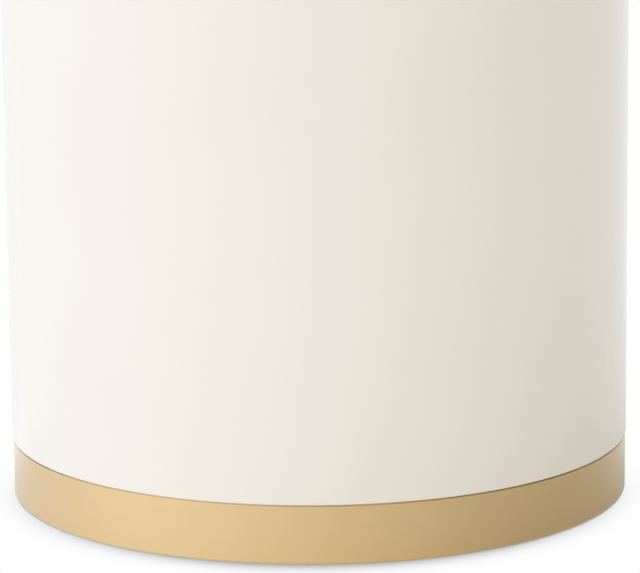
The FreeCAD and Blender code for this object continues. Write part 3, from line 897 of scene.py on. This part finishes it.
nylon, tree = new_material("moulded_black_nylon")
place = add_node(tree, "TexCoord").outputs["Object"]
texture = add_node(tree, "TexNoise", {}, {"Vector": place, "Scale": 1 / MOULD_TEXTURE, "Detail": 2.0})
tint = add_node(
    tree,
    "Mix",
    {"data_type": "RGBA"},
    {"Factor": texture.outputs["Fac"], MIX_FIRST: linear("#17171A"), MIX_SECOND: linear("#2A2A2C")},
)
bump = add_node(
    tree, "Bump", {}, {"Strength": 0.5, "Distance": MOULD_HEIGHT, "Height": texture.outputs["Fac"]}
)
shader = add_node(
    tree,
    "BsdfPrincipled",
    {},
    {
        "Base Color": tint.outputs[MIX_COLOUR],
        "Roughness": 0.55,
        "IOR": 1.53,
        "Normal": bump.outputs["Normal"],
    },
)
finish_material(nylon, shader.outputs["BSDF"])

# %% [markdown]
# ### Dressing the table
# The record says which finish each piece has, so dressing is a lookup: new pieces take their material
# here, and so do the CAD pieces that are shown as they are. The top has two finishes: the faces that
# point up are flatted, and its edge is glossy, like the wall below it.

# %% Give every piece its finish
finishes = {
    "cream_lacquer": wall_lacquer,
    "satin_gold": gold,
    "birch_plywood": birch,
    "pine": pine,
    "zinc_plated_steel": zinc,
    "black_nylon": nylon,
}
for piece, slot in made:
    piece.data.materials.append(finishes[slot])
top = bpy.data.objects["top_panel_lacquered"].data
normals = np.empty(3 * len(top.polygons))
top.polygons.foreach_get("normal", normals)
top.materials.append(top_lacquer)
top.polygons.foreach_set("material_index", (normals[2::3] > FLAT_FACE).astype(np.int32))
shown = [node for node, solid in frame["nodes"].items() if not solid.hide_render]
for node in shown:
    frame["nodes"][node].material_slots[0].material = finishes[slot_of[node]]
print(len(made), "new pieces and", len(shown), "CAD pieces have their finish")

# %% [markdown]
# ## The studio floor
# The floor is a sheet of white paper, so wide that it runs to the horizon. It lies a hair below the band,
# because two faces at the same height would flicker. Seen from below it is clear, so that the underside
# can be looked at.

# %% Floor sheet
FLOOR_HALF = 40.0
FLOOR_DROP = 0.05 * MM

corners = FLOOR_HALF * np.array([[-1, -1, 0], [1, -1, 0], [1, 1, 0], [-1, 1, 0]]) - [0, 0, FLOOR_DROP]
floor_mesh = bpy.data.meshes.new("studio_floor")
floor_mesh.from_pydata(corners.tolist(), [], [(0, 1, 2, 3)])
floor = bpy.data.objects.new("studio_floor", floor_mesh)
bpy.context.scene.collection.objects.link(floor)
print(f"floor {2 * FLOOR_HALF:.0f} m wide")

# %% [markdown]
# ### White paper and its shadow
# To the camera the paper is plain white by itself and keeps only the soft shadow close to the band. A
# shadow from the light would be far too wide for that, so an Ambient Occlusion node measures how much of
# the table stands near each point. Its directions lean over the drum: backwards in front of it, and
# forwards close behind it. That puts the shadow there and leaves the two sides white, and a power lets it
# fall off quickly. The power would exaggerate grain, so the node takes more samples than it does by
# default.

# %% Contact shadow
CONTACT_REACH = 57 * MM
CONTACT_FALL = 4.5
CONTACT_DEPTH = 3.45
CONTACT_DARKEST = 0.50
LEAN_BACK, LEAN_FORWARD, LEAN_UP = 0.465, -0.40, 0.885
TURN_START, TURN_END = 140 * MM, 220 * MM
CONTACT_SAMPLES = 64

paper, tree = new_material("white_paper_sweep")
spot = add_node(tree, "NewGeometry").outputs
xyz = add_node(tree, "SeparateXYZ", {}, {"Vector": spot["Position"]})
lean = add_node(
    tree,
    "MapRange",
    {},
    {
        "Value": xyz.outputs["Y"],
        "From Min": TURN_START,
        "From Max": TURN_END,
        "To Min": LEAN_BACK,
        "To Max": LEAN_FORWARD,
    },
)
leaning = add_node(tree, "CombineXYZ", {}, {"Y": lean.outputs["Result"], "Z": LEAN_UP})
openness = add_node(
    tree,
    "AmbientOcclusion",
    {"samples": CONTACT_SAMPLES},
    {"Distance": CONTACT_REACH, "Normal": leaning.outputs["Vector"]},
)
hidden = add_node(tree, "Math", {"operation": "SUBTRACT"}, {0: 1.0, 1: openness.outputs["AO"]})
fading = add_node(tree, "Math", {"operation": "POWER"}, {0: hidden.outputs[0], 1: CONTACT_FALL})
shade = add_node(
    tree, "Math", {"operation": "MULTIPLY_ADD"}, {0: fading.outputs[0], 1: -CONTACT_DEPTH, 2: 1.0}
)
shade = add_node(tree, "Math", {"operation": "MAXIMUM"}, {0: shade.outputs[0], 1: CONTACT_DARKEST})
white = add_node(tree, "Emission", {}, {"Strength": shade.outputs[0]})
print(f"contact shadow reaches {CONTACT_REACH / MM:.0f} mm")

# %% [markdown]
# ### Which rays see the white
# Reflections see matt paper that keeps the drum's whole soft shadow, because that is what shades the gold
# from left to right and down to its foot. A stride away, and everywhere behind the drum, this paper is as
# white as the camera sees it, which brightens the rims of the wall and the gold. Close by in front it is
# painted a little greyer, a painted shade on what the wall and the gold mirror near their foot. Light that
# bounces between surfaces sees the greyer paper too, except within a few centimetres, where the paper
# glows plain white, painted light that keeps the underside from going black, and a ray of a few
# millimetres sees that white whatever it is. Each rule is a number from 0 to 1, and the largest one
# decides.

# %% Rays and the white floor
NEAR_MIRRORED, FAR_MIRRORED = 120 * MM, 900 * MM
BEHIND_START, BEHIND_FULL = 0.0, 100 * MM
UNDER_NEAR, UNDER_FAR = 20 * MM, 60 * MM
TOUCHING, CLEAR_OF = 1 * MM, 4 * MM

path = add_node(tree, "LightPath").outputs
ramps = {
    "far": (path["Ray Length"], NEAR_MIRRORED, FAR_MIRRORED),
    "behind": (xyz.outputs["Y"], BEHIND_START, BEHIND_FULL),
    "under": (path["Ray Length"], UNDER_FAR, UNDER_NEAR),
    "touching": (path["Ray Length"], CLEAR_OF, TOUCHING),
}
ramp = {
    name: add_node(
        tree, "MapRange", {}, {"Value": value, "From Min": start, "From Max": end}
    ).outputs["Result"]
    for name, (value, start, end) in ramps.items()
}
distant = add_node(tree, "Math", {"operation": "MAXIMUM"}, {0: ramp["far"], 1: ramp["behind"]})
mirrored = add_node(
    tree, "Math", {"operation": "MULTIPLY"}, {0: path["Is Glossy Ray"], 1: distant.outputs[0]}
)
# Near the band the paper is painted greyer, a painted shade; far off and behind the drum it is white.
paper_white_and_painted_shade = add_node(
    tree,
    "Mix",
    {"data_type": "RGBA"},
    {"Factor": mirrored.outputs[0], MIX_FIRST: linear("#E7E7E7"), MIX_SECOND: linear("#FDFDFD")},
)
matt = add_node(tree, "BsdfDiffuse", {}, {"Color": paper_white_and_painted_shade.outputs[MIX_COLOUR]})
scattered = add_node(
    tree, "Math", {"operation": "MULTIPLY"}, {0: path["Is Diffuse Ray"], 1: ramp["under"]}
)
seen = path["Is Camera Ray"]
for rule in (path["Is Transmission Ray"], scattered.outputs[0], ramp["touching"]):
    seen = add_node(tree, "Math", {"operation": "MAXIMUM"}, {0: seen, 1: rule}).outputs[0]
from_above = add_node(
    tree, "MixShader", {}, {0: seen, 1: matt.outputs["BSDF"], 2: white.outputs["Emission"]}
)
clear = add_node(tree, "BsdfTransparent")
both = add_node(
    tree,
    "MixShader",
    {},
    {0: spot["Backfacing"], 1: from_above.outputs["Shader"], 2: clear.outputs["BSDF"]},
)
finish_material(paper, both.outputs["Shader"])
floor_mesh.materials.append(paper)

# %% [markdown]
# ## The light
# The light is one broad soft source on the left and little else: the wall and the gold both darken evenly
# from left to right. Lamps would draw edges in the gold, so the world itself is the light. The dot
# product of a direction with the way to the light tells how far that direction faces it. The strength is
# an even level, plus a lean in proportion to that number, plus a glow, which is the same number raised to
# a power, so that the source is brightest in its middle. The colour is cool on the left, and warms from
# there to the right. The camera never looks straight at this light: from below, where no floor hides it,
# it sees a plain pale grey, which the cream stands out from.

# %% World
LIGHT_LEVEL = 1.035
LIGHT_LEAN = 0.66
LIGHT_GLOW = 0.43
GLOW_NARROWING = 4.0
TO_LIGHT = (-0.91, -0.41, 0.0)
WARM_FROM = -0.7

world = bpy.data.worlds.new("soft_studio")
bpy.context.scene.world = world
world.use_nodes = True
tree = world.node_tree
tree.nodes.clear()
direction = add_node(tree, "TexCoord").outputs["Generated"]
facing = add_node(tree, "VectorMath", {"operation": "DOT_PRODUCT"}, {0: direction, 1: TO_LIGHT})
facing = facing.outputs["Value"]
leaned = add_node(
    tree, "Math", {"operation": "MULTIPLY_ADD"}, {0: facing, 1: LIGHT_LEAN, 2: LIGHT_LEVEL}
)
ahead = add_node(tree, "Math", {"operation": "MAXIMUM"}, {0: facing, 1: 0.0})
glow = add_node(tree, "Math", {"operation": "POWER"}, {0: ahead.outputs[0], 1: GLOW_NARROWING})
strength = add_node(
    tree, "Math", {"operation": "MULTIPLY_ADD"}, {0: glow.outputs[0], 1: LIGHT_GLOW, 2: leaned.outputs[0]}
)
sideways = add_node(tree, "SeparateXYZ", {}, {"Vector": direction})
warmth = add_node(tree, "MapRange", {}, {"Value": sideways.outputs["X"], "From Min": WARM_FROM})
tint = add_node(
    tree,
    "Mix",
    {"data_type": "RGBA"},
    {"Factor": warmth.outputs["Result"], MIX_FIRST: linear("#EFF3FF"), MIX_SECOND: linear("#FFF8E0")},
)
sky = add_node(
    tree, "Background", {}, {"Color": tint.outputs[MIX_COLOUR], "Strength": strength.outputs[0]}
)
backdrop = add_node(tree, "Background", {}, {"Color": linear("#E4E4E4")})
looking = add_node(tree, "LightPath").outputs["Is Camera Ray"]
both = add_node(
    tree, "MixShader", {}, {0: looking, 1: sky.outputs["Background"], 2: backdrop.outputs["Background"]}
)
add_node(tree, "OutputWorld", {}, {"Surface": both.outputs["Shader"]})
weakest, strongest = LIGHT_LEVEL - LIGHT_LEAN, LIGHT_LEVEL + LIGHT_LEAN + LIGHT_GLOW
print(f"light from {weakest:.2f} away from the source to {strongest:.2f} in its middle")

# %% [markdown]
# ## The camera
# The viewpoint was found by fitting a pinhole camera to the drum's two sides and to the curves at its
# foot and at the foot of the band. A long lens from three metres away, looking down by twelve degrees,
# puts them all within about a pixel. The focal length came out in pixels of the picture, so the lens is
# that over the picture's width, times the sensor's width.

# %% Camera
IMAGE_WIDTH = 640
FOCAL_PIXELS = 3817.0
SENSOR = 36.0
CAMERA_PLACE = (0.0, -3.0305, 0.806)
LOOK_DOWN = math.radians(11.979)
YAW = math.radians(-0.033)
ROLL = math.radians(-0.555)

lens = bpy.data.cameras.new("photo_camera")
lens.sensor_fit = "HORIZONTAL"
lens.sensor_width = SENSOR
lens.lens = FOCAL_PIXELS / IMAGE_WIDTH * SENSOR
camera = bpy.data.objects.new("photo_camera", lens)
bpy.context.scene.collection.objects.link(camera)
camera.matrix_world = (
    Matrix.Translation(CAMERA_PLACE)
    @ Matrix.Rotation(YAW, 4, "Z")
    @ Matrix.Rotation(math.pi / 2 - LOOK_DOWN, 4, "X")
    @ Matrix.Rotation(ROLL, 4, "Z")
)
bpy.context.scene.camera = camera
bpy.context.scene.view_settings.view_transform = "Standard"
print(f"lens {lens.lens:.1f} mm")
